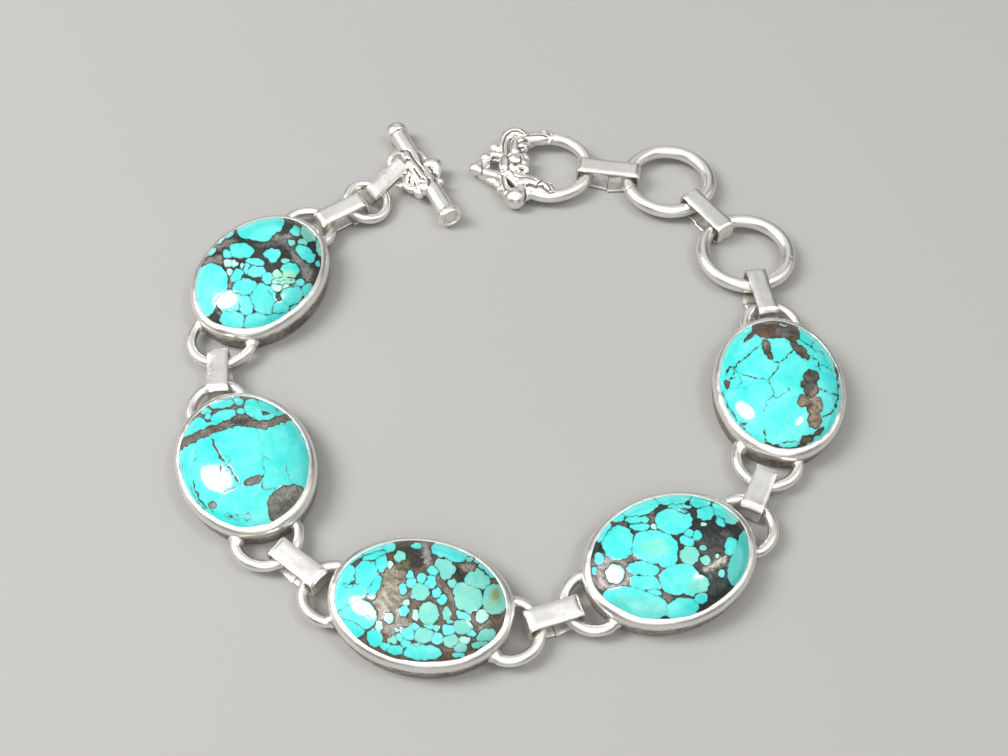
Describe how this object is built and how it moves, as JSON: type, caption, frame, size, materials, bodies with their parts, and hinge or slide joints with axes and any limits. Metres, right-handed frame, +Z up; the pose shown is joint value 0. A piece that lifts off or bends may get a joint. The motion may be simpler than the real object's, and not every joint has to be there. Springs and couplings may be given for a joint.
{
  "type": "link bracelet",
  "caption": "Silver link bracelet of oval turquoise cabochons in bezels, joined by folded strap links and round rings, with a toggle clasp; lies open and flat.",
  "frame": {"origin": "middle of the bracelet's footprint, on the surface it lies on", "axes": "+Z up from the surface; +X and +Y in the surface, the clasp lies on the +Y side"},
  "size_m": [0.0834, 0.0838, 0.0067],
  "materials": {
    "silver": "worn polish",
    "turquoise": "gloss polish"
  },
  "bodies": {
    "root": {"turquoise_1": "turquoise", "turquoise_2": "turquoise", "turquoise_3": "turquoise", "turquoise_4": "turquoise", "turquoise_5": "turquoise", "bezel_1": "silver", "bezel_2": "silver", "bezel_3": "silver", "bezel_4": "silver", "bezel_5": "silver", "strap_bar_small": "silver", "strap_small_1": "silver", "strap_1_2": "silver", "strap_2_3": "silver", "strap_3_4": "silver", "strap_4_5": "silver", "strap_5_a": "silver", "strap_a_b": "silver", "strap_b_toggle": "silver", "small_ring": "silver", "ring_a": "silver", "ring_b": "silver", "toggle_ring": "silver", "toggle_bar": "silver"}
  },
  "joints": []
}
